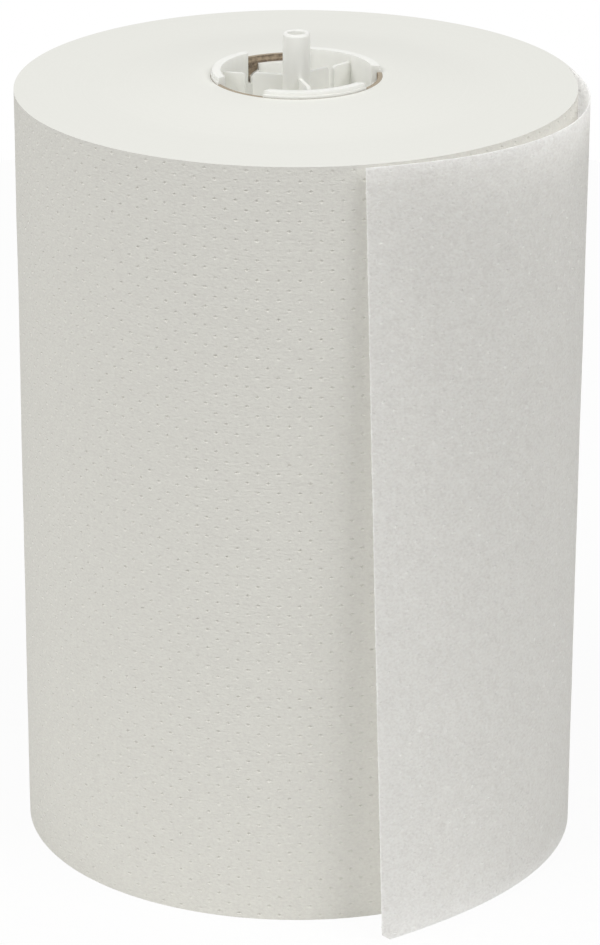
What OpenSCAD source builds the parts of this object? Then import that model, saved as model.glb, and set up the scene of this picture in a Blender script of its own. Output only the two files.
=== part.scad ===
// Paper towel roll: one embossed sheet wound hard on a card core, with a moulded plug in the core's upper end.
// The roll stands on its lower end. The origin is on the axis at the foot. +Z runs up the core, and -Y is the
// front.

/* [Paper] */
// Width of the sheet, which is the height of the standing roll
sheet_w = 200; // [150:1:260]
// Diameter of the wound paper
roll_d = 144; // [110:1:200]
// Thickness of the embossed sheet
sheet_t = 0.3; // [0.2:0.05:0.6]
// Air on each side of the sheet where the last turn lies on the turn below
wind_slack = 0.15; // [0.1:0.05:0.4]
// Bands of turns that show on each end
turn_bands = 15; // [6:1:24]
// Most that one band of turns stands out past the outermost band
turn_step = 0.25; // [0.05:0.05:0.5]
// Width of the slope between one band of turns and the next
turn_slope = 0.4; // [0.2:0.1:0.8]
// How far the turns beside the core have slid up past the outer turns
end_rise = 2.3; // [0.5:0.1:4]
// Width of the level ring round each end
flat_ring = 18; // [6:1:24]

/* [Tail] */
// Angle from +X at which the tail leaves the roll
tail_root = 12; // [-20:1:60]
// Length of the loose tail round the roll, clockwise from its root
tail_len = 111; // [60:1:150]
// Length by which the foot of the free edge stays behind its top
foot_lag = 2; // [0:0.1:6]
// Length of the tail that still lies between the turns
tail_hold = 2; // [1:0.5:6]
// Outward bulge of the tail at the top
bulge_top = 4.8; // [0:0.2:8]
// Outward bulge of the tail at the foot
bulge_foot = 2; // [0:0.2:8]
// Distance of the free edge from the roll at the top
lift_top = 2.4; // [0:0.1:20]
// Distance of the free edge from the roll at the foot
lift_foot = 14.6; // [0:0.1:30]

/* [Core] */
// Bore of the card core
core_bore = 41; // [34:0.5:50]
// Wall of the card core
core_wall = 1.3; // [1:0.1:3]

/* [Plug cup] */
// Length of the sleeve that is pressed into the core
sleeve_len = 16; // [12:0.5:30]
// Wall of the sleeve
sleeve_wall = 1.4; // [0.8:0.1:2]
// How far the sleeve has pressed back the card of the bore
card_press = 0.2; // [0.15:0.05:0.5]
// Clearance between the sleeve and the pressed card
sleeve_clear = 0.05; // [0.05:0.05:0.15]
// Length over which the pressed card runs back to the bore, below the sleeve
press_run = 3; // [2:0.5:6]
// Floor of the cup
floor_t = 1.5; // [1:0.1:3]
// Lead-in chamfer at the foot of the sleeve
lead_in = 1; // [0.4:0.1:1.4]
// Thickness of the flange
flange_t = 1.7; // [1:0.1:3]
// Height of the step round the flange
flange_step = 0.8; // [0.3:0.1:0.9]
// How far the upper part of the flange is set back behind the step
step_set = 0.35; // [0.1:0.05:0.6]
// Ring of the core's rim left bare round the flange
bare_rim = 0.1; // [0.1:0.1:0.8]
// Angle from +X of the first rib
plug_turn = -74; // [-180:1:180]

/* [Plug fingers] */
// Angle from a rib to the next window
window_turn = 59.5; // [40:0.5:80]
// Width of the windows that part the flange in three
window_w = 16; // [12:0.5:20]
// Depth of the slits beside the fingers, below the rim of the core
slit_depth = 6.3; // [4:0.1:9]
// Distance of a finger's tip below the rim of the core
finger_drop = 1.8; // [0.5:0.1:2.5]
// Width of a finger at its tip
finger_tip_w = 9.6; // [6:0.2:12]
// Width of each slit at the foot of a finger
slit_w = 0.8; // [0.5:0.1:2]
// Height of the straight foot of a finger
finger_foot = 1.5; // [0.5:0.1:2]
// Height of the taper between a finger's foot and its tip
finger_taper = 1.5; // [0.5:0.1:2]

/* [Plug ribs] */
// Thickness of the ribs
rib_t = 1; // [0.6:0.1:2]
// Distance of the ribs' tops below the top of the flange
rib_drop = 1.6; // [0.2:0.1:3]
// How much lower the ribs are between the notch and the sleeve
rib_step = 0.4; // [0:0.1:2]
// Width of the notch in each rib
notch_w = 2; // [1:0.1:4]
// Depth of the notch in each rib
notch_d = 7; // [3:0.5:9]
// Radius at the mouth of the notch
notch_mouth_r = 1; // [0.2:0.1:1.5]
// How far the notch is past the middle of the rib, towards the sleeve
notch_shift = 0.8; // [-2:0.1:2]

/* [Spindle] */
// Diameter of the spindle
spindle_d = 7; // [5:0.5:12]
// Height of the spindle above the flange
spindle_h = 9.6; // [6:0.1:25]
// How much thicker the spindle's root is at the floor of the cup, all round
root_extra = 0.4; // [0.2:0.1:1.5]
// Diameter of the hollow in the spindle
hollow_d = 4.4; // [2:0.1:4.6]
// Depth of the hollow in the spindle
hollow_depth = 12; // [4:0.5:20]
// Chamfer round the outside of the spindle's tip
tip_chamfer = 0.5; // [0.2:0.1:1]
// Chamfer at the mouth of the hollow
mouth_chamfer = 0.3; // [0.1:0.1:0.4]

/* [Hidden] */
$fn = 96;
// Rows and columns of the tail's surface
tail_cols = 34;
tail_rows = 6;
// How softly the tail leaves the roll, and how late its free edge turns out at the top and at the foot
leave_ease = 1.25;
edge_ease_top = 7;
edge_ease_foot = 3.4;
// Angle between the offsets of one band of turns and the next
band_phase = 137.5;
// Number of windows, fingers and ribs
plug_folds = 3;
fold_angle = 360 / plug_folds;
// Overlap of pieces that are fused and of cutters past what they cut
lap = 0.5;

roll_r = roll_d / 2;
seam_step = sheet_t + 2 * wind_slack;
under_r = roll_r - seam_step;
core_r = core_bore / 2;
core_out = core_r + core_wall;
rim_z = sheet_w + end_rise;
band_w = (roll_r - core_out) / turn_bands;

seat_r = core_r + card_press;
sleeve_r = seat_r - sleeve_clear;
cup_r = sleeve_r - sleeve_wall;
flange_r = core_out - bare_rim;
floor_z = floor_t - sleeve_len;
rib_top = flange_t - rib_drop;
rib_in = (hollow_d + spindle_d) / 4;
rib_out = cup_r + sleeve_wall / 2;

spindle_r = spindle_d / 2;
root_r = spindle_r + root_extra;
hollow_r = hollow_d / 2;
tip_z = flange_t + spindle_h;
notch_r = (root_r + cup_r) / 2 + notch_shift;
foot_w = window_w - 2 * slit_w;

// How far the turns at radius r have slid up, from 0 in the level ring to the full rise at the core
function slide(r) =
    let (u = min(1, max(0, (roll_r - flat_ring - r) / (roll_r - flat_ring - core_out))))
    end_rise * u * u * (3 - 2 * u);

// How far band i stands out past its neighbours. The innermost is level with the core
function band_out(i) = i == turn_bands - 1 ? 0 : turn_step * (1 + sin(band_phase * i)) / 2;

// Foot of band i, counted from the outside. Only the outermost band touches the ground
function band_z(i) = i == 0 ? 0 : slide(roll_r - (i + 0.5) * band_w) + band_out(i);

// Outer or inner edge of band i, half a slope short of the next band. The outermost edge lies past the last
// turn, which trims it, and the innermost is the core
function band_edge(i, inner) =
    inner
        ? (i == turn_bands - 1 ? core_out : roll_r - (i + 1) * band_w + turn_slope / 2)
        : (i == 0 ? roll_r + lap : roll_r - i * band_w - turn_slope / 2);

// Section of the wound sheet: every band is one sheet width high, with a slope between its end and the next
function roll_section() = concat(
    [for (i = [0:turn_bands - 1], inner = [false, true]) [band_edge(i, inner), band_z(i)]],
    [for (i = [turn_bands - 1:-1:0], inner = [true, false]) [band_edge(i, inner), sheet_w + band_z(i)]]
);

// One half of the last turn, as an arc that ends half a step nearer the axis than it begins
module half_turn(first) {
    rotate(first ? tail_root : tail_root + 180)
        intersection() {
            translate([seam_step / 4, 0, -lap])
                cylinder(r = under_r + (first ? 3 : 1) * seam_step / 4, h = rim_z + turn_step + 2 * lap);
            translate([-roll_d, 0, -2 * lap])
                cube([2 * roll_d, roll_d, rim_z + turn_step + 4 * lap]);
        }
}

// Distance of the tail from the turn below, from its root (s = 0) to its free edge (s = 1), foot (h = 0) to top
function tail_gap(s, h) =
    (bulge_foot + (bulge_top - bulge_foot) * h) * pow(max(0, sin(180 * s)), leave_ease)
    + (lift_foot + (lift_top - lift_foot) * h) * pow(s, edge_ease_foot + (edge_ease_top - edge_ease_foot) * h);

// Angle round the roll of a length of sheet
function wrap_angle(run) = run / under_r * 180 / PI;

// Point of the tail in column i and row j, on its inner face (side = 0) or its outer face (side = 1)
function tail_point(side, i, j) =
    let (
        h = j / tail_rows,
        span = wrap_angle(tail_len - foot_lag * (1 - h)),
        hold = wrap_angle(tail_hold),
        back = i * (span + hold) / tail_cols - hold,
        s = max(0, back / span),
        r = under_r + wind_slack + tail_gap(s, h) + side * sheet_t,
        a = tail_root - back
    )
    [r * cos(a), r * sin(a), h * sheet_w];

// Number of a point of the tail, and the two triangles of a patch of four points
function tail_index(side, i, j) = (side * (tail_cols + 1) + i) * (tail_rows + 1) + j;
function patch(a, b, c, d) = [[a, b, c], [a, c, d]];

// The loose end of the last turn
module tail() {
    points = [
        for (side = [0, 1], i = [0:tail_cols], j = [0:tail_rows]) tail_point(side, i, j)
    ];
    outer = [
        for (i = [0:tail_cols - 1], j = [0:tail_rows - 1])
            each patch(
                tail_index(1, i, j), tail_index(1, i + 1, j),
                tail_index(1, i + 1, j + 1), tail_index(1, i, j + 1)
            )
    ];
    inner = [
        for (i = [0:tail_cols - 1], j = [0:tail_rows - 1])
            each patch(
                tail_index(0, i, j), tail_index(0, i, j + 1),
                tail_index(0, i + 1, j + 1), tail_index(0, i + 1, j)
            )
    ];
    rims = [
        for (i = [0:tail_cols - 1], j = [0, tail_rows])
            each j == 0
                ? patch(
                    tail_index(0, i, j), tail_index(0, i + 1, j),
                    tail_index(1, i + 1, j), tail_index(1, i, j)
                )
                : patch(
                    tail_index(0, i, j), tail_index(1, i, j),
                    tail_index(1, i + 1, j), tail_index(0, i + 1, j)
                )
    ];
    ends = [
        for (i = [0, tail_cols], j = [0:tail_rows - 1])
            each i == 0
                ? patch(
                    tail_index(0, i, j), tail_index(1, i, j),
                    tail_index(1, i, j + 1), tail_index(0, i, j + 1)
                )
                : patch(
                    tail_index(0, i, j), tail_index(0, i, j + 1),
                    tail_index(1, i, j + 1), tail_index(1, i, j)
                )
    ];
    polyhedron(points = points, faces = concat(outer, inner, rims, ends), convexity = 4);
}

// The wound sheet with its loose tail
module paper_roll() {
    color("#E6E5DF")
    union() {
        intersection() {
            rotate_extrude() polygon(roll_section());
            union() {
                half_turn(true);
                half_turn(false);
            }
        }
        tail();
    }
}

// The card tube, whose bore is pressed back where the plug's sleeve sits
module core_tube() {
    color("#A08F74")
    translate([0, 0, end_rise])
        difference() {
            cylinder(r = core_out, h = sheet_w);
            translate([0, 0, -lap]) cylinder(r = core_r, h = sheet_w + 2 * lap);
            translate([0, 0, sheet_w - sleeve_len]) cylinder(r = seat_r, h = sleeve_len + lap);
            translate([0, 0, sheet_w - sleeve_len - press_run])
                cylinder(r1 = core_r, r2 = seat_r, h = press_run);
        }
}

// Sleeve, floor and stepped flange, turned from one section
module cup() {
    rotate_extrude()
        polygon([
            [0, -sleeve_len],
            [sleeve_r - lead_in, -sleeve_len],
            [sleeve_r, lead_in - sleeve_len],
            [sleeve_r, 0],
            [flange_r, 0],
            [flange_r, flange_step],
            [flange_r - step_set, flange_step],
            [flange_r - step_set, flange_t],
            [cup_r, flange_t],
            [cup_r, floor_z],
            [0, floor_z]
        ]);
}

// Outline of a window without the finger that stands in it, across the sleeve and up
module window_outline() {
    difference() {
        translate([-window_w / 2, -slit_depth]) square([window_w, slit_depth + flange_t + lap]);
        polygon([
            [-foot_w / 2, -slit_depth - lap],
            [-foot_w / 2, -slit_depth + finger_foot],
            [-finger_tip_w / 2, -slit_depth + finger_foot + finger_taper],
            [-finger_tip_w / 2, -finger_drop],
            [finger_tip_w / 2, -finger_drop],
            [finger_tip_w / 2, -slit_depth + finger_foot + finger_taper],
            [foot_w / 2, -slit_depth + finger_foot],
            [foot_w / 2, -slit_depth - lap]
        ]);
    }
}

// Cutter that leaves one snap finger in its window
module window() {
    translate([cup_r / 2, 0, 0])
        rotate([90, 0, 90])
            linear_extrude(height = flange_r) window_outline();
}

// Round-bottomed slot that stands on the origin, open at its top
module slot_outline() {
    translate([0, notch_w / 2]) circle(d = notch_w);
    translate([-notch_w / 2, notch_w / 2]) square([notch_w, notch_d]);
}

// What rounds off a rib's corner at the origin, on the right of a slot
module mouth_corner() {
    difference() {
        translate([-lap, -notch_mouth_r]) square([notch_mouth_r + lap, notch_mouth_r + lap]);
        translate([notch_mouth_r, -notch_mouth_r]) circle(r = notch_mouth_r);
    }
}

// One rib from the spindle to the sleeve, with its notch
module rib() {
    rotate([90, 0, 0])
        linear_extrude(height = rib_t, center = true)
            difference() {
                translate([rib_in, floor_z - floor_t / 2])
                    square([rib_out - rib_in, rib_top - floor_z + floor_t / 2]);
                translate([notch_r, rib_top - rib_step]) square([rib_out - notch_r + lap, rib_step + lap]);
                translate([notch_r, rib_top - notch_d]) slot_outline();
                translate([notch_r - notch_w / 2, rib_top]) mirror([1, 0]) mouth_corner();
                translate([notch_r + notch_w / 2, rib_top - rib_step]) mouth_corner();
            }
}

// The spindle and its tapered root, turned from one section
module spindle() {
    rotate_extrude()
        polygon([
            [0, floor_z - floor_t / 2],
            [root_r, floor_z - floor_t / 2],
            [spindle_r, rib_top],
            [spindle_r, tip_z - tip_chamfer],
            [spindle_r - tip_chamfer, tip_z],
            [0, tip_z]
        ]);
}

// The hollow in the spindle, with its chamfered mouth
module hollow() {
    translate([0, 0, tip_z - hollow_depth]) cylinder(r = hollow_r, h = hollow_depth + lap);
    translate([0, 0, tip_z - mouth_chamfer])
        cylinder(r1 = hollow_r, r2 = hollow_r + mouth_chamfer + lap, h = mouth_chamfer + lap);
}

// The moulded plug, seated with its flange on the rim of the core
module end_plug() {
    color("#EDEDEA")
    translate([0, 0, rim_z])
        rotate(plug_turn)
            difference() {
                union() {
                    difference() {
                        cup();
                        for (k = [0:plug_folds - 1]) rotate(k * fold_angle + window_turn) window();
                    }
                    for (k = [0:plug_folds - 1]) rotate(k * fold_angle) rib();
                    spindle();
                }
                hollow();
            }
}

paper_roll();
core_tube();
end_plug();
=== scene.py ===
"""Looks of a hard-wound paper towel roll: embossed sheet, loose tail, card core and moulded end plug."""

import math

import bmesh
import bpy
from mathutils import Matrix, Vector, noise


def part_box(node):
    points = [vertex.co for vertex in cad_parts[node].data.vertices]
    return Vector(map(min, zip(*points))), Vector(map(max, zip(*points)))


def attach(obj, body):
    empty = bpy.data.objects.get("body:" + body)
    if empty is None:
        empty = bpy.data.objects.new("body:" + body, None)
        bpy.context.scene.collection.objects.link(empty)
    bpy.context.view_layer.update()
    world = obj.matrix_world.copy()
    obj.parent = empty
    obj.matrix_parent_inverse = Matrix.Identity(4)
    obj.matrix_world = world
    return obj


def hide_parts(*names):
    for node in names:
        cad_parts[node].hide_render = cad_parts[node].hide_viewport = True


bl_info = {
    "name": "Paper Towel Roll",
    "version": (1, 0, 0),
    "blender": (4, 5, 0),
    "location": "View3D > Sidebar > Towel Roll",
    "description": "Dresses the packed solids of a paper towel roll",
    "category": "Object",
}

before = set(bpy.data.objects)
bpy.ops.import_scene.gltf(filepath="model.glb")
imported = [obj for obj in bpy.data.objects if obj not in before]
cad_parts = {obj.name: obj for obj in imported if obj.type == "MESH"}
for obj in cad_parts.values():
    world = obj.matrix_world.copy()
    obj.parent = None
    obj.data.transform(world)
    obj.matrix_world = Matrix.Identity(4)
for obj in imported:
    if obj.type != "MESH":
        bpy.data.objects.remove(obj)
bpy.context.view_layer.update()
CORE_LOW, CORE_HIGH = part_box("core_tube")
MM = 0.001
WHITE = (1, 1, 1, 1)

# How near two places count as one: for a cut, for an upright edge or a weld, and for the rim of an end
CUT_REACH = 1e-7
HAIR = 0.001 * MM
SAME = 0.01 * MM
# Edges that turn by more than this stay sharp
SHARP = math.radians(60)

# Waves of the sheet: broad swells with ripples on them, along the turns and up the roll
SWELL_LENGTH, SWELL_HEIGHT = 60 * MM, 25 * MM
RIPPLE_LENGTH, RIPPLE_HEIGHT = 11 * MM, 6 * MM
SWELL_SHARE, RIPPLE_SHARE = 0.7, 0.3
ROLL_SEED, TAIL_SEED, RIPPLE_SEED = 1, 5, 7
# Length over which the waves fade beside the step in the last turn
SEAM_FADE = 10 * MM
# Patches in which the dots are pressed deeper or less deep
PRESS_PATCH = 7 * MM
PRESS_MEAN, PRESS_SPREAD = 0.9, 0.6
# Bands of turns on an end: how they change across it and round it, and how far they fade from its rims
BAND_CHANGE = 2.1 * MM
BAND_TURN = 0.4
RIM_FADE = 4 * MM


def linear(hex_colour):
    """Linear RGBA of an sRGB hex colour."""
    channels = [int(hex_colour[i:i + 2], 16) / 255 for i in (1, 3, 5)]
    return [c / 12.92 if c <= 0.04045 else ((c + 0.055) / 1.055) ** 2.4 for c in channels] + [1.0]


def length(name, description, default_mm):
    """A size in metres, given in millimetres."""
    return bpy.props.FloatProperty(
        name=name, description=description, default=default_mm * MM, precision=5, unit="LENGTH"
    )


def angle(name, description, default_degrees):
    """An angle in radians, given in degrees."""
    return bpy.props.FloatProperty(
        name=name, description=description, default=math.radians(default_degrees),
        subtype="ANGLE", unit="ROTATION",
    )


def share(name, description, default):
    """A share between nothing and all."""
    return bpy.props.FloatProperty(
        name=name, description=description, default=default, min=0, max=1, subtype="FACTOR"
    )


def exponent(name, description, default):
    """A power that shapes a curve."""
    return bpy.props.FloatProperty(name=name, description=description, default=default, min=0.5, max=12)


def power(name, description, default):
    """A lamp's power in watts."""
    return bpy.props.FloatProperty(name=name, description=description, default=default, min=0, unit="POWER")


def position(name, description, default):
    """A place in metres."""
    return bpy.props.FloatVectorProperty(
        name=name, description=description, default=default, subtype="TRANSLATION", unit="LENGTH"
    )


def colour(name, description, hex_colour):
    """A linear colour, given in sRGB hex."""
    return bpy.props.FloatVectorProperty(
        name=name, description=description, default=linear(hex_colour), size=4, min=0, max=1, subtype="COLOR"
    )


class TowelPaper(bpy.types.PropertyGroup):
    """The wound sheet."""

    sheet_width: length("Sheet width", "Height of the standing roll", CORE_HIGH.z / MM - CORE_LOW.z / MM)
    roll_radius: length("Roll radius", "Radius of the wound paper at the tail's root", 72)
    sheet_thickness: length("Sheet thickness", "Thickness of the embossed sheet", 0.3)
    seam_step: length("Seam step", "How much the radius falls over the last turn", 0.6)
    step_run: length("Step run", "Length over which the step at the tail's root falls", 0.3)
    dot_pitch: length("Dot pitch", "Distance of the dots in one row", 5.2)
    row_pitch: length("Row pitch", "Distance of one row of dots from the next", 2.5)
    dot_width: length("Dot width", "Width of a pressed dot at its rim", 1.5)
    dot_height: length("Dot height", "Height of a pressed dot at its rim", 1.0)
    dot_depth: length("Dot depth", "Depth of a pressed dot", 0.25)
    dot_wall: length("Dot wall", "Width of the sloping wall of a dot", 0.28)
    dot_lean: length("Dot lean", "How far the bottom of a dot lies above its middle", 0.05)
    unevenness: length("Unevenness", "Most that the sheet stands off its even course", 0.12)
    end_rise: length("End rise", "How far the turns beside the core have slid up", CORE_LOW.z / MM)
    level_ring: length("Level ring", "Width of the level ring round each end", 18)
    ring_width: length("Ring width", "Width of the bands of turns drawn on the ends", 1.2)
    ring_relief: length("Ring relief", "Most that one band of turns stands past the next", 0.045)
    core_gap: length("Core gap", "Air between the first turn and the core", 0.02)
    grain_depth: length("Grain depth", "Height of the crepe lines", 0.08)
    crinkle_depth: length("Crinkle depth", "Depth of the small crinkles", 0.05)
    light: colour("Paper", "The sheet's own white", "#E8E7E0")
    # The shade is painted shade in the crinkle pits, and thinner fibre between the clouds
    shade: colour("Paper shade", "The sheet where its fibres lie thinner", "#E1DFD9")
    edge_light: colour("Cut edge", "The cut edges of the turns", "#ECECE6")
    # The edge shade is painted shade in the gaps between the turns
    edge_shade: colour("Cut edge shade", "The gaps between the turns", "#E9E9E3")


class TowelGrain(bpy.types.PropertyGroup):
    """The grain of the tissue and of its cut edges."""

    line_length: length("Line length", "Length of a crepe line", 2.2)
    line_pitch: length("Line pitch", "Distance of one crepe line from the next", 0.5)
    crinkle_length: length("Crinkle length", "Length of a crinkle along the turns", 0.9)
    crinkle_height: length("Crinkle height", "Height of a crinkle up the sheet", 0.6)
    felt_size: length("Felt size", "Size of the felted fibres, drawn large enough to show", 0.45)
    felt_share: share("Felt share", "Height of the felted fibres beside the crepe lines", 0.6)
    cloud_size: length("Cloud size", "Size of the clouds of thicker fibre", 3)
    edge_pitch: length("Edge pitch", "Distance of the cut edges, drawn wide enough to show", 0.6)
    edge_depth: length("Edge depth", "Height of the cut edges", 0.015)
    fibre_size: length("Fibre size", "Size of the cut fibre ends", 0.5)
    fibre_depth: length("Fibre depth", "Height of the cut fibre ends", 0.02)


class TowelTail(bpy.types.PropertyGroup):
    """The loose end of the last turn."""

    root: angle("Root", "Angle from +X at which the tail leaves the roll", 12)
    run: length("Length", "Length of the tail from its root to its free edge", 111)
    foot_lag: length("Foot lag", "How far the foot of the free edge stays behind its top", 2)
    hold: length("Hold", "Length of the tail that still lies under the last turn", 2)
    tuck: length("Tuck", "How far the held length lies below the surface", 0.05)
    bulge_top: length("Bulge at the top", "Outward bulge of the tail at the top", 4.8)
    bulge_foot: length("Bulge at the foot", "Outward bulge of the tail at the foot", 2)
    lift_top: length("Lift at the top", "Distance of the free edge from the roll at the top", 2.4)
    lift_foot: length("Lift at the foot", "Distance of the free edge from the roll at the foot", 14.6)
    leave_ease: exponent("Leaving", "How softly the tail leaves the roll", 1.25)
    edge_ease_top: exponent("Turn at the top", "How late the free edge turns out at the top", 7)
    edge_ease_foot: exponent("Turn at the foot", "How late the free edge turns out at the foot", 3.4)
    settle: length("Settle", "Length over which the tail comes down on its course", 12)
    relaxed_from: length("Relaxed from", "Length after which the dots have gone slack", 40)
    slack_dots: share("Slack dots", "Share of the dots' depth left in the slack part", 0.65)
    grain_depth: length("Grain depth", "Height of the crepe lines", 0.14)
    crinkle_depth: length("Crinkle depth", "Depth of the small crinkles", 0.22)
    see_through: share("See-through", "Share of the light that each face of the sheet lets through", 0.64)
    light: colour("Paper", "The fibres' own white", "#FEFEFD")
    # The shade is painted shade in the crinkle pits, and thinner fibre between the clouds
    shade: colour("Paper shade", "The sheet where its fibres lie thinner", "#F3F2F1")


class TowelCore(bpy.types.PropertyGroup):
    """The card tube."""

    strip_advance: length("Strip advance", "How far the wound strip's seam climbs in one turn", 120)
    seam_width: length("Seam width", "Width of the seam up the tube", 0.7)
    fleck_size: length("Fleck size", "Length of a fleck of fibre", 1.2)
    streak_length: length("Streak length", "Length of a streak along the strip", 7)
    streak_height: length("Streak height", "Height of a streak up the tube", 0.7)
    relief: length("Relief", "Height of the board's roughness", 0.06)
    board: colour("Board", "The card's own brown", "#B3A28C")
    board_shade: colour("Board shade", "The card's darker fibres", "#716456")
    cut_edge: colour("Cut edge", "The greyer cut edge of the card", "#ACA08E")


class TowelPlug(bpy.types.PropertyGroup):
    """The moulded plug."""

    edge_radius: length("Edge radius", "Rounding of the moulded edges", 0.14)
    edge_angle: angle("Edge angle", "Edges that turn by more than this are rounded", 30)
    flow_size: length("Flow size", "Size of the flow marks", 6)
    grit_size: length("Grit size", "Size of the spark-eroded mould's texture", 0.3)
    grit_depth: length("Grit depth", "Height of the mould's texture", 0.01)
    glow_depth: length("Glow depth", "How deep the light goes into the resin", 2)
    resin: colour("Resin", "The plug's own white", "#F3F3EE")
    resin_shade: colour("Resin shade", "The plug where the resin has flowed last", "#EFEFE9")


class TowelStage(bpy.types.PropertyGroup):
    """Floor, light and camera."""

    eye: position("Eye", "Place of the camera", (0, -1.1072, 0.5183))
    aim: position("Aim", "Point that the camera and the softboxes look at", (0, 0, 0.0946))
    lens: bpy.props.FloatProperty(
        name="Lens", description="Focal length in millimetres", default=172.5, unit="CAMERA"
    )
    shift: bpy.props.FloatProperty(name="Shift", description="Sideways shift of the view", default=0.0037)
    floor: colour("Floor", "The pale floor", "#EAEAE8")
    floor_radius: length("Floor radius", "Radius of the round floor", 600)
    floor_fade: share("Floor fade", "How far the floor that is seen fades into the white background", 0.93)
    dome: share("Dome", "Strength of the light from all sides", 0.36)
    softbox_size: length("Softbox size", "Side of each square softbox", 1800)
    left_softbox: position("Left softbox", "Place of the left softbox", (-1.77, -1.06, 2.55))
    left_power: power("Left power", "Power of the left softbox", 48)
    right_softbox: position("Right softbox", "Place of the right softbox", (1.69, -1.18, 2.55))
    right_power: power("Right power", "Power of the right softbox", 41)


class TowelRoll(bpy.types.PropertyGroup):
    """All the settings of the roll."""

    paper: bpy.props.PointerProperty(type=TowelPaper, name="Paper", description="The wound sheet")
    grain: bpy.props.PointerProperty(type=TowelGrain, name="Grain", description="The grain of the tissue")
    tail: bpy.props.PointerProperty(type=TowelTail, name="Tail", description="The loose end of the last turn")
    core: bpy.props.PointerProperty(type=TowelCore, name="Core", description="The card tube")
    plug: bpy.props.PointerProperty(type=TowelPlug, name="Plug", description="The moulded plug")
    stage: bpy.props.PointerProperty(type=TowelStage, name="Stage", description="Floor, light and camera")


def add(tree, kind, values=None, links=None, **settings):
    """Adds a node with its settings, the values of its inputs and the links into them."""
    node = tree.nodes.new(kind)
    for key, value in settings.items():
        setattr(node, key, value)
    for key, value in (values or {}).items():
        node.inputs[key].default_value = value
    for key, source in (links or {}).items():
        tree.links.new(source, node.inputs[key])
    return node


def new_material(name):
    """An empty node material and its tree."""
    material = bpy.data.materials.new(name)
    material.use_nodes = True
    material.node_tree.nodes.clear()
    return material, material.node_tree


def per_metre(along, upright):
    """Scale of a pattern with one length round the roll and another up it."""
    return 1 / along, 1 / along, 1 / upright


def creped_tissue(sheet, grain, name, see_through):
    """Dry-creped, uncoated tissue: dead matt, with fine lines along the turns, small crinkles with painted
    shade in their pits, felted fibre and clouds where the fibre lies thicker. A single loose sheet lets much
    of the light through."""
    material, tree = new_material(name)
    place = add(tree, "ShaderNodeTexCoord").outputs["Object"]
    lines_at = add(
        tree, "ShaderNodeMapping", {"Scale": per_metre(grain.line_length, grain.line_pitch)},
        {"Vector": place},
    )
    lines = add(
        tree, "ShaderNodeTexNoise", {"Scale": 1.0, "Detail": 2.0, "Roughness": 0.6},
        {"Vector": lines_at.outputs[0]},
    )
    felt = add(
        tree, "ShaderNodeTexNoise", {"Scale": 1 / grain.felt_size, "Detail": 3.0, "Roughness": 0.7},
        {"Vector": place},
    )
    clouds = add(
        tree, "ShaderNodeTexNoise", {"Scale": 1 / grain.cloud_size, "Detail": 3.0, "Roughness": 0.6},
        {"Vector": place},
    )
    crinkles_at = add(
        tree, "ShaderNodeMapping", {"Scale": per_metre(grain.crinkle_length, grain.crinkle_height)},
        {"Vector": place},
    )
    crinkles = add(
        tree, "ShaderNodeTexNoise", {"Scale": 1.0, "Detail": 2.5, "Roughness": 0.6},
        {"Vector": crinkles_at.outputs[0]},
    )
    # The shade colour is painted shade in the crinkles' pits, where the bump below presses them in, and a
    # little thinner fibre in the gaps between the clouds
    fibre = add(
        tree, "ShaderNodeMath", {1: 0.3}, {0: clouds.outputs[0], 2: crinkles.outputs[0]},
        operation="MULTIPLY_ADD",
    )
    pit_shade_and_cloud_mask = add(tree, "ShaderNodeMapRange", {"From Min": 0.45, "From Max": 0.8}, {"Value": fibre.outputs[0]})
    tint = add(
        tree, "ShaderNodeMix", {6: sheet.shade, 7: sheet.light}, {0: pit_shade_and_cloud_mask.outputs[0]}, data_type="RGBA"
    )
    pitted = add(
        tree, "ShaderNodeMapRange", {"From Min": 0.3, "From Max": 0.7}, {"Value": crinkles.outputs[0]}
    )
    creped = add(
        tree, "ShaderNodeBump", {"Strength": 1.0, "Distance": sheet.grain_depth}, {"Height": lines.outputs[0]}
    )
    crinkled = add(
        tree, "ShaderNodeBump", {"Strength": 1.0, "Distance": sheet.crinkle_depth},
        {"Height": pitted.outputs[0], "Normal": creped.outputs[0]},
    )
    felted = add(
        tree, "ShaderNodeBump", {"Strength": 1.0, "Distance": sheet.grain_depth * grain.felt_share},
        {"Height": felt.outputs[0], "Normal": crinkled.outputs[0]},
    )
    shader = add(
        tree, "ShaderNodeBsdfPrincipled", {"Roughness": 0.95, "IOR": 1.45, "Specular IOR Level": 0.2},
        {"Base Color": tint.outputs[2], "Normal": felted.outputs[0]},
    )
    if see_through:
        through = add(tree, "ShaderNodeBsdfTranslucent", links={"Color": tint.outputs[2]})
        shader = add(
            tree, "ShaderNodeMixShader", {0: see_through}, {1: shader.outputs[0], 2: through.outputs[0]}
        )
    add(tree, "ShaderNodeOutputMaterial", links={"Surface": shader.outputs[0]})
    return material


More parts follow.
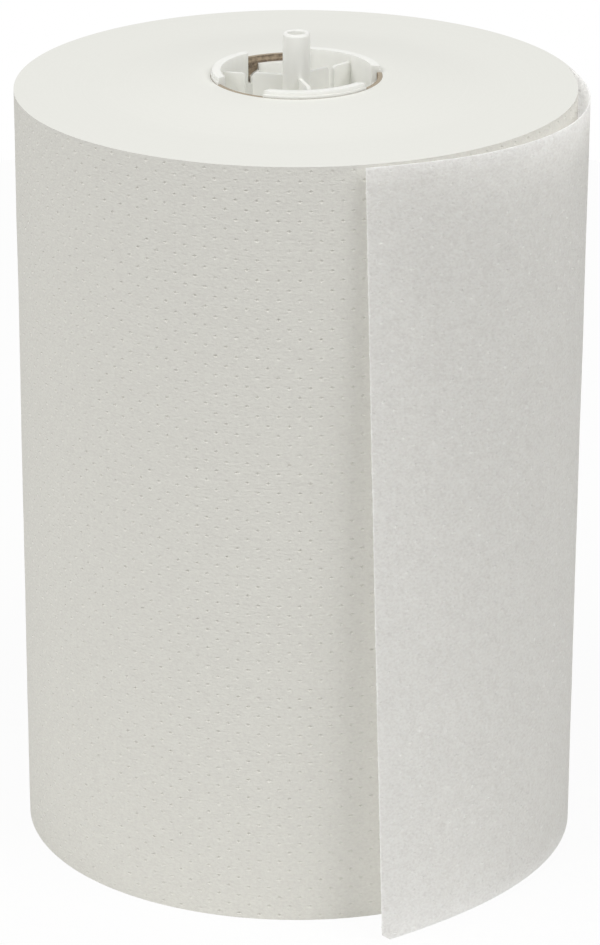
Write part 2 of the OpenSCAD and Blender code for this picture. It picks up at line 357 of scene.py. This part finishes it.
def cut_tissue(paper, grain):
    """Tissue cut by a knife: hundreds of sheet edges side by side, smooth from afar, with faint rings and
    painted shade in the gaps between them.
    """
    material, tree = new_material("cut_tissue_edges")
    place = add(tree, "ShaderNodeTexCoord").outputs["Object"]
    flat = add(tree, "ShaderNodeVectorMath", {1: (1, 1, 0)}, {0: place}, operation="MULTIPLY")
    radius = add(tree, "ShaderNodeVectorMath", links={0: flat.outputs[0]}, operation="LENGTH")
    count = add(
        tree, "ShaderNodeMath", {1: 1 / grain.edge_pitch}, {0: radius.outputs["Value"]}, operation="MULTIPLY"
    )
    turns = add(
        tree, "ShaderNodeTexNoise", {"Scale": 1.0, "Detail": 3.0, "Roughness": 0.65}, {"W": count.outputs[0]},
        noise_dimensions="1D",
    )
    ends = add(
        tree, "ShaderNodeTexNoise", {"Scale": 1 / grain.fibre_size, "Detail": 3.0, "Roughness": 0.75},
        {"Vector": place},
    )
    # Painted shade in the gaps between the turns, where the ring bump is low, with random tone of fibre ends
    both = add(
        tree, "ShaderNodeMath", {1: 0.6}, {0: turns.outputs[0], 2: ends.outputs[0]}, operation="MULTIPLY_ADD"
    )
    packed = add(tree, "ShaderNodeMapRange", {"From Min": 0.5, "From Max": 1.05}, {"Value": both.outputs[0]})
    tint = add(
        tree, "ShaderNodeMix", {6: paper.edge_shade, 7: paper.edge_light}, {0: packed.outputs[0]},
        data_type="RGBA",
    )
    ringed = add(
        tree, "ShaderNodeBump", {"Strength": 1.0, "Distance": grain.edge_depth}, {"Height": turns.outputs[0]}
    )
    frayed = add(
        tree, "ShaderNodeBump", {"Strength": 1.0, "Distance": grain.fibre_depth},
        {"Height": ends.outputs[0], "Normal": ringed.outputs[0]},
    )
    shader = add(
        tree, "ShaderNodeBsdfPrincipled", {"Roughness": 1.0, "IOR": 1.45, "Specular IOR Level": 0.1},
        {"Base Color": tint.outputs[2], "Normal": frayed.outputs[0]},
    )
    add(tree, "ShaderNodeOutputMaterial", links={"Surface": shader.outputs[0]})
    return material


def core_board(core):
    """Spiral-wound grey board: dull brown, streaked and flecked with fibre, with the strip's seam climbing
    round it, and greyer where the knife cut it."""
    material, tree = new_material("spiral_wound_core_board")
    place = add(tree, "ShaderNodeTexCoord").outputs["Object"]
    flecks = add(
        tree, "ShaderNodeTexNoise", {"Scale": 1 / core.fleck_size, "Detail": 4.0, "Roughness": 0.7},
        {"Vector": place},
    )
    streaks_at = add(
        tree, "ShaderNodeMapping", {"Scale": per_metre(core.streak_length, core.streak_height)},
        {"Vector": place},
    )
    streaks = add(
        tree, "ShaderNodeTexNoise", {"Scale": 1.0, "Detail": 2.0}, {"Vector": streaks_at.outputs[0]}
    )
    grain = add(tree, "ShaderNodeMath", links={0: flecks.outputs[0], 1: streaks.outputs[0]}, operation="ADD")
    brown = add(tree, "ShaderNodeMapRange", {"From Min": 0.8, "From Max": 1.2}, {"Value": grain.outputs[0]})
    # The seam between two turns of the strip climbs by the strip's advance in one turn
    axes = add(tree, "ShaderNodeSeparateXYZ", links={0: place})
    around = add(
        tree, "ShaderNodeMath", links={0: axes.outputs["Y"], 1: axes.outputs["X"]}, operation="ARCTAN2"
    )
    turn = add(tree, "ShaderNodeMath", {1: 1 / (2 * math.pi)}, {0: around.outputs[0]}, operation="MULTIPLY")
    climb = add(
        tree, "ShaderNodeMath", {1: 1 / core.strip_advance}, {0: axes.outputs["Z"], 2: turn.outputs[0]},
        operation="MULTIPLY_ADD",
    )
    along = add(tree, "ShaderNodeMath", links={0: climb.outputs[0]}, operation="FRACT")
    seam = add(
        tree, "ShaderNodeMath", {1: 0.5, 2: core.seam_width / 2 / core.strip_advance}, {0: along.outputs[0]},
        operation="COMPARE",
    )
    plain = add(
        tree, "ShaderNodeMath", links={0: brown.outputs[0], 1: seam.outputs[0]},
        operation="SUBTRACT", use_clamp=True,
    )
    tint = add(
        tree, "ShaderNodeMix", {6: core.board_shade, 7: core.board}, {0: plain.outputs[0]}, data_type="RGBA"
    )
    # The cut rims are the faces that lie level
    normal = add(tree, "ShaderNodeNewGeometry").outputs["Normal"]
    up = add(tree, "ShaderNodeSeparateXYZ", links={0: normal})
    level = add(tree, "ShaderNodeMath", links={0: up.outputs["Z"]}, operation="ABSOLUTE")
    cut = add(tree, "ShaderNodeMapRange", {"From Min": 0.5, "From Max": 0.8}, {"Value": level.outputs[0]})
    edged = add(
        tree, "ShaderNodeMix", {7: core.cut_edge}, {0: cut.outputs[0], 6: tint.outputs[2]}, data_type="RGBA"
    )
    rough = add(
        tree, "ShaderNodeBump", {"Strength": 1.0, "Distance": core.relief}, {"Height": plain.outputs[0]}
    )
    shader = add(
        tree, "ShaderNodeBsdfPrincipled", {"Roughness": 0.9, "IOR": 1.45, "Specular IOR Level": 0.25},
        {"Base Color": edged.outputs[2], "Normal": rough.outputs[0]},
    )
    add(tree, "ShaderNodeOutputMaterial", links={"Surface": shader.outputs[0]})
    return material


def moulded_polypropylene(plug):
    """Injection-moulded white polypropylene: a soft shine, faintly uneven where the resin flowed, and a
    slight glow."""
    material, tree = new_material("moulded_polypropylene")
    place = add(tree, "ShaderNodeTexCoord").outputs["Object"]
    flow = add(tree, "ShaderNodeTexNoise", {"Scale": 1 / plug.flow_size, "Detail": 2.0}, {"Vector": place})
    grit = add(tree, "ShaderNodeTexNoise", {"Scale": 1 / plug.grit_size, "Detail": 2.0}, {"Vector": place})
    tint = add(
        tree, "ShaderNodeMix", {6: plug.resin_shade, 7: plug.resin}, {0: flow.outputs[0]}, data_type="RGBA"
    )
    shine = add(tree, "ShaderNodeMapRange", {"To Min": 0.34, "To Max": 0.48}, {"Value": flow.outputs[0]})
    fine = add(
        tree, "ShaderNodeBump", {"Strength": 0.5, "Distance": plug.grit_depth}, {"Height": grit.outputs[0]}
    )
    shader = add(
        tree, "ShaderNodeBsdfPrincipled",
        {
            "IOR": 1.49, "Specular IOR Level": 0.2,
            "Subsurface Weight": 0.4, "Subsurface Radius": (1, 1, 1), "Subsurface Scale": plug.glow_depth,
        },
        {"Base Color": tint.outputs[2], "Roughness": shine.outputs[0], "Normal": fine.outputs[0]},
    )
    add(tree, "ShaderNodeOutputMaterial", links={"Surface": shader.outputs[0]})
    return material


def seen_ray(tree):
    """One for a ray that shows in the picture, straight or by a gloss or glass, and nothing for others."""
    rays = add(tree, "ShaderNodeLightPath")
    seen = add(
        tree, "ShaderNodeMath",
        links={0: rays.outputs["Is Camera Ray"], 1: rays.outputs["Is Transmission Ray"]}, operation="MAXIMUM",
    )
    shown = add(
        tree, "ShaderNodeMath", links={0: seen.outputs[0], 1: rays.outputs["Is Glossy Ray"]},
        operation="MAXIMUM",
    )
    return shown.outputs[0]


def pale_floor(stage):
    """Seamless white paper: it fades into the background, keeps a soft shadow and is clear from below."""
    material, tree = new_material("seamless_white_paper")
    fade = add(tree, "ShaderNodeMath", {1: stage.floor_fade}, {0: seen_ray(tree)}, operation="MULTIPLY")
    lit = add(tree, "ShaderNodeBsdfDiffuse", {"Color": stage.floor})
    white = add(tree, "ShaderNodeEmission", {"Color": WHITE, "Strength": 1.0})
    paper = add(
        tree, "ShaderNodeMixShader", links={0: fade.outputs[0], 1: lit.outputs[0], 2: white.outputs[0]}
    )
    clear = add(tree, "ShaderNodeBsdfTransparent")
    below = add(tree, "ShaderNodeNewGeometry").outputs["Backfacing"]
    either = add(tree, "ShaderNodeMixShader", links={0: below, 1: paper.outputs[0], 2: clear.outputs[0]})
    add(tree, "ShaderNodeOutputMaterial", links={"Surface": either.outputs[0]})
    return material


def studio_world(stage):
    """A white background that gives a weaker, even light."""
    world = bpy.data.worlds.new("studio")
    world.use_nodes = True
    tree = world.node_tree
    tree.nodes.clear()
    strength = add(
        tree, "ShaderNodeMapRange", {"To Min": stage.dome, "To Max": 1.0}, {"Value": seen_ray(tree)}
    )
    sky = add(tree, "ShaderNodeBackground", {"Color": WHITE}, {"Strength": strength.outputs[0]})
    add(tree, "ShaderNodeOutputWorld", links={"Surface": sky.outputs[0]})
    return world


def new_piece(name, mesh, materials, node):
    """An object of the finished mesh, which stands for a node and rides on the roll."""
    data = bpy.data.meshes.new(name)
    mesh.to_mesh(data)
    mesh.free()
    piece = bpy.data.objects.new(name, data)
    bpy.context.scene.collection.objects.link(piece)
    for material in materials:
        data.materials.append(material)
    # The dots' narrow walls don't bend the shading of the level paper round them
    level = piece.modifiers.new("level_shading", "WEIGHTED_NORMAL")
    level.mode = "FACE_AREA"
    level.weight = 100
    level.keep_sharp = True
    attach(piece, "root")
    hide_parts(node)
    return piece


def stand(name, data, place, aim):
    """A lamp or camera that stands at a place and looks at a point."""
    thing = bpy.data.objects.new(name, data)
    thing.location = place
    thing.rotation_euler = (Vector(aim) - Vector(place)).to_track_quat("-Z", "Y").to_euler()
    bpy.context.scene.collection.objects.link(thing)
    return thing


def embossed_sheet(paper, start, end):
    """A flat sheet from start to end along X, one sheet width up Z, facing -Y, with its rows of dots."""
    mesh = bmesh.new()
    pitch, rise = paper.dot_pitch, 2 * paper.row_pitch
    cells = 2 * math.ceil(((end - start) / pitch + paper.sheet_width / rise) / 2 + 1)
    # A square grid stood on its corner: each cell is a diamond with a dot in its middle, and the dots
    # start a quarter pitch off the ends
    first = pitch * (round((start + end) / 2 / pitch) + 0.25)
    course = paper.row_pitch * (2 * round(paper.sheet_width / 2 / rise) + 0.5)
    diagonal = math.sqrt(2)
    bmesh.ops.create_grid(
        mesh, x_segments=cells, y_segments=cells, size=cells / 2,
        matrix=Matrix.Translation((first, 0, course))
        @ Matrix.Diagonal((pitch / diagonal, 1, rise / diagonal, 1))
        @ Matrix.Rotation(math.pi / 2, 4, "X")
        @ Matrix.Rotation(math.pi / 4, 4, "Z")
        @ Matrix.Translation((0.5, 0.5, 0)),
    )
    outside = []
    for face in mesh.faces:
        middle = face.calc_center_median()
        if not (start - pitch < middle.x < end + pitch and -rise < middle.z < paper.sheet_width + rise):
            outside.append(face)
    bmesh.ops.delete(mesh, geom=outside, context="FACES")
    dots = mesh.faces[:]
    reach = pitch * rise / 2 / math.hypot(pitch, rise)
    bmesh.ops.inset_individual(
        mesh, faces=dots, thickness=reach * (1 - paper.dot_width / pitch), use_even_offset=True
    )
    squat = paper.dot_height / rise * pitch / paper.dot_width
    for face in dots:
        middle = face.calc_center_median()
        for vert in face.verts:
            vert.co.z = middle.z + (vert.co.z - middle.z) * squat
    walls = bmesh.ops.inset_individual(
        mesh, faces=dots, thickness=paper.dot_wall, depth=-paper.dot_depth, use_even_offset=True
    )["faces"]
    for face in dots:
        pressed = PRESS_MEAN + PRESS_SPREAD * noise.noise(face.calc_center_median() / PRESS_PATCH)
        for vert in face.verts:
            vert.co.y *= pressed
            vert.co.z += paper.dot_lean
    # Level paper is shaded smooth and a dot's walls flat, so that each wall takes its own light
    for face in mesh.faces:
        face.smooth = True
    for face in walls:
        face.smooth = False
    for place, outward in (
        ((start, 0, 0), (-1, 0, 0)), ((end, 0, 0), (1, 0, 0)),
        ((0, 0, 0), (0, 0, -1)), ((0, 0, paper.sheet_width), (0, 0, 1)),
    ):
        bmesh.ops.bisect_plane(
            mesh, geom=mesh.verts[:] + mesh.edges[:] + mesh.faces[:], dist=CUT_REACH,
            plane_co=place, plane_no=outward, clear_outer=True,
        )
    bmesh.ops.remove_doubles(mesh, verts=mesh.verts, dist=SAME)
    bmesh.ops.recalc_face_normals(mesh, faces=mesh.faces)
    if mesh.faces[0].normal.y > 0:
        bmesh.ops.reverse_faces(mesh, faces=mesh.faces)
    return mesh


def uneven(paper, x, z, seed):
    """Slow waviness of the sheet at a place, between minus and plus the unevenness."""
    swell = noise.noise(Vector((x / SWELL_LENGTH, z / SWELL_HEIGHT, seed)))
    ripple = noise.noise(Vector((x / RIPPLE_LENGTH, z / RIPPLE_HEIGHT, seed + RIPPLE_SEED)))
    return paper.unevenness * (SWELL_SHARE * swell + RIPPLE_SHARE * ripple)


def eased(u):
    """A soft start and end between 0 and 1."""
    return u * u * (3 - 2 * u)


def turned(radius, around, height):
    """The place at a radius, an angle round the axis and a height."""
    return Vector((radius * math.cos(around), radius * math.sin(around), height))


def end_height(paper, radius, around):
    """How far the turns at a radius stand above the outermost one, on either end."""
    core = CORE_HIGH.x
    inner = paper.roll_radius - paper.level_ring
    slid = paper.end_rise * eased(min(1, max(0, (inner - radius) / (inner - core))))
    band = noise.noise(
        Vector((radius / BAND_CHANGE, BAND_TURN * math.cos(around), BAND_TURN * math.sin(around)))
    )
    # Level with the sheet's edge outside and with the core's rim inside
    rim = min(1, (paper.roll_radius - radius) / RIM_FADE, (radius - core) / RIM_FADE)
    return slid + rim * paper.ring_relief * (0.5 + 0.5 * band)


def wound_paper_mesh(paper, tail):
    """The wound turns as one body: the embossed side, both ends and the hole for the core."""
    whole = math.pi * (2 * paper.roll_radius - paper.seam_step)
    mesh = embossed_sheet(paper, 0, whole - paper.step_run)
    for vert in mesh.verts:
        done = vert.co.x / whole
        radius = paper.roll_radius - paper.seam_step * done - vert.co.y
        fade = min(1, vert.co.x / SEAM_FADE, (whole - vert.co.x) / SEAM_FADE)
        radius += fade * (uneven(paper, vert.co.x, vert.co.z, ROLL_SEED) - paper.unevenness)
        vert.co = turned(radius, tail.root + 2 * math.pi * done, vert.co.z)
    rim = [e for e in mesh.edges if e.is_boundary]
    upright = [e for e in rim if abs(e.verts[0].co.z - e.verts[1].co.z) > HAIR]
    step = bmesh.ops.bridge_loops(mesh, edges=upright)["faces"]
    for face in step:
        for edge in face.edges:
            edge.smooth = False
    core = CORE_HIGH.x + paper.core_gap
    rings = round((paper.roll_radius - core) / paper.ring_width)
    last = []
    for top in (False, True):
        level = paper.sheet_width if top else 0
        loop = [e for e in mesh.edges if e.is_boundary and all(abs(v.co.z - level) < SAME for v in e.verts)]
        for edge in loop:
            edge.smooth = False
        for ring in range(1, rings + 1):
            made = bmesh.ops.extrude_edge_only(mesh, edges=loop)["geom"]
            loop = [g for g in made if isinstance(g, bmesh.types.BMEdge)]
            for vert in (g for g in made if isinstance(g, bmesh.types.BMVert)):
                around = math.atan2(vert.co.y, vert.co.x)
                now = math.hypot(vert.co.x, vert.co.y)
                radius = now + (core - now) / (rings - ring + 1)
                vert.co = turned(radius, around, level + end_height(paper, radius, around))
            for face in (g for g in made if isinstance(g, bmesh.types.BMFace)):
                face.material_index = 1
                face.smooth = True
        last += loop
    bmesh.ops.bridge_loops(mesh, edges=last)
    for edge in last:
        edge.smooth = False
    bmesh.ops.recalc_face_normals(mesh, faces=mesh.faces)
    return mesh


def loose_tail_mesh(paper, tail):
    """The loose end as a closed thin sheet, close to the roll at the top and flared out at the foot."""
    mesh = embossed_sheet(paper, -tail.run, tail.hold)
    for vert in mesh.verts:
        slack = eased(min(1, max(0, -vert.co.x / tail.relaxed_from)))
        vert.co.y *= 1 - (1 - tail.slack_dots) * slack
    bmesh.ops.solidify(mesh, geom=mesh.faces[:], thickness=paper.sheet_thickness)
    under = paper.roll_radius - paper.seam_step
    rest = paper.roll_radius - paper.sheet_thickness
    slack_air = (paper.seam_step - paper.sheet_thickness) / 2
    for vert in mesh.verts:
        back, up = -vert.co.x, vert.co.z / paper.sheet_width
        s = max(0, back / tail.run)
        span = tail.run - tail.foot_lag * (1 - up)
        around = tail.root - (s * span if back > 0 else back) / under
        bulge = tail.bulge_foot + (tail.bulge_top - tail.bulge_foot) * up
        lift = tail.lift_foot + (tail.lift_top - tail.lift_foot) * up
        ease = tail.edge_ease_foot + (tail.edge_ease_top - tail.edge_ease_foot) * up
        gap = bulge * max(0, math.sin(math.pi * s)) ** tail.leave_ease + lift * s ** ease
        settled = min(1, max(0, back / tail.settle))
        radius = rest - slack_air * settled + gap + paper.sheet_thickness - vert.co.y
        radius += settled * uneven(paper, vert.co.x, vert.co.z, TAIL_SEED)
        radius -= tail.tuck * max(0, -back / tail.hold)
        vert.co = turned(radius, around, vert.co.z)
    for edge in mesh.edges:
        if len(edge.link_faces) == 2 and edge.calc_face_angle(0) > SHARP:
            edge.smooth = False
    bmesh.ops.recalc_face_normals(mesh, faces=mesh.faces)
    return mesh


class TOWELROLL_OT_wound_paper(bpy.types.Operator):
    """Winds the embossed sheet on the core"""

    bl_idname = "towel_roll.wound_paper"
    bl_label = "Wound Paper"

    def execute(self, context):
        roll = context.scene.towel_roll
        mesh = wound_paper_mesh(roll.paper, roll.tail)
        side = creped_tissue(roll.paper, roll.grain, "creped_tissue", 0)
        ends = cut_tissue(roll.paper, roll.grain)
        new_piece("wound_paper", mesh, [side, ends], "paper_roll")
        return {"FINISHED"}


class TOWELROLL_OT_loose_tail(bpy.types.Operator):
    """Hangs the loose end of the last turn on the roll"""

    bl_idname = "towel_roll.loose_tail"
    bl_label = "Loose Tail"

    def execute(self, context):
        roll = context.scene.towel_roll
        mesh = loose_tail_mesh(roll.paper, roll.tail)
        materials = [creped_tissue(roll.tail, roll.grain, "slack_creped_tissue", roll.tail.see_through)]
        new_piece("loose_tail", mesh, materials, "paper_roll")
        return {"FINISHED"}


class TOWELROLL_OT_core(bpy.types.Operator):
    """Finishes the card tube"""

    bl_idname = "towel_roll.core"
    bl_label = "Card Core"

    def execute(self, context):
        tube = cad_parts["core_tube"]
        tube.data.materials.clear()
        tube.data.materials.append(core_board(context.scene.towel_roll.core))
        return {"FINISHED"}


class TOWELROLL_OT_plug(bpy.types.Operator):
    """Finishes the moulded plug and rounds its edges"""

    bl_idname = "towel_roll.plug"
    bl_label = "End Plug"

    def execute(self, context):
        settings = context.scene.towel_roll.plug
        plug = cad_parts["end_plug"]
        plug.data.materials.clear()
        plug.data.materials.append(moulded_polypropylene(settings))
        weld = plug.modifiers.new("weld", "WELD")
        weld.merge_threshold = HAIR
        rounding = plug.modifiers.new("edges", "BEVEL")
        rounding.width = settings.edge_radius
        rounding.segments = 2
        rounding.limit_method = "ANGLE"
        rounding.angle_limit = settings.edge_angle
        rounding.harden_normals = True
        return {"FINISHED"}


class TOWELROLL_OT_stage(bpy.types.Operator):
    """Sets the floor, the soft light and the camera"""

    bl_idname = "towel_roll.stage"
    bl_label = "Stage"

    def execute(self, context):
        scene = context.scene
        stage = scene.towel_roll.stage
        scene.view_settings.view_transform = "Standard"
        scene.world = studio_world(stage)

        mesh = bmesh.new()
        bmesh.ops.create_circle(mesh, cap_ends=True, segments=64, radius=stage.floor_radius)
        data = bpy.data.meshes.new("floor")
        mesh.to_mesh(data)
        mesh.free()
        floor = bpy.data.objects.new("floor", data)
        scene.collection.objects.link(floor)
        data.materials.append(pale_floor(stage))

        for name, place, watts in (
            ("left_softbox", stage.left_softbox, stage.left_power),
            ("right_softbox", stage.right_softbox, stage.right_power),
        ):
            lamp = bpy.data.lights.new(name, "AREA")
            lamp.size = stage.softbox_size
            lamp.energy = watts
            stand(name, lamp, place, stage.aim)

        lens = bpy.data.cameras.new("camera")
        lens.lens = stage.lens
        lens.shift_x = stage.shift
        lens.clip_start, lens.clip_end = 0.01, 50
        scene.camera = stand("camera", lens, stage.eye, stage.aim)
        return {"FINISHED"}


OPERATORS = (
    TOWELROLL_OT_wound_paper,
    TOWELROLL_OT_loose_tail,
    TOWELROLL_OT_core,
    TOWELROLL_OT_plug,
    TOWELROLL_OT_stage,
)


class TOWELROLL_PT_pieces(bpy.types.Panel):
    """The pieces of the roll"""

    bl_idname = "TOWELROLL_PT_pieces"
    bl_label = "Towel Roll"
    bl_space_type = "VIEW_3D"
    bl_region_type = "UI"
    bl_category = "Towel Roll"

    def draw(self, context):
        for operator in OPERATORS:
            self.layout.operator(operator.bl_idname)


CLASSES = (
    TowelPaper, TowelGrain, TowelTail, TowelCore, TowelPlug, TowelStage, TowelRoll,
    *OPERATORS,
    TOWELROLL_PT_pieces,
)


def register():
    for part in CLASSES:
        bpy.utils.register_class(part)
    bpy.types.Scene.towel_roll = bpy.props.PointerProperty(
        type=TowelRoll, name="Towel roll", description="Sizes and colours of the towel roll"
    )


def unregister():
    del bpy.types.Scene.towel_roll
    for part in reversed(CLASSES):
        bpy.utils.unregister_class(part)


def main():
    register()
    bpy.ops.towel_roll.wound_paper()
    bpy.ops.towel_roll.loose_tail()
    bpy.ops.towel_roll.core()
    bpy.ops.towel_roll.plug()
    bpy.ops.towel_roll.stage()


if __name__ == "__main__":
    main()
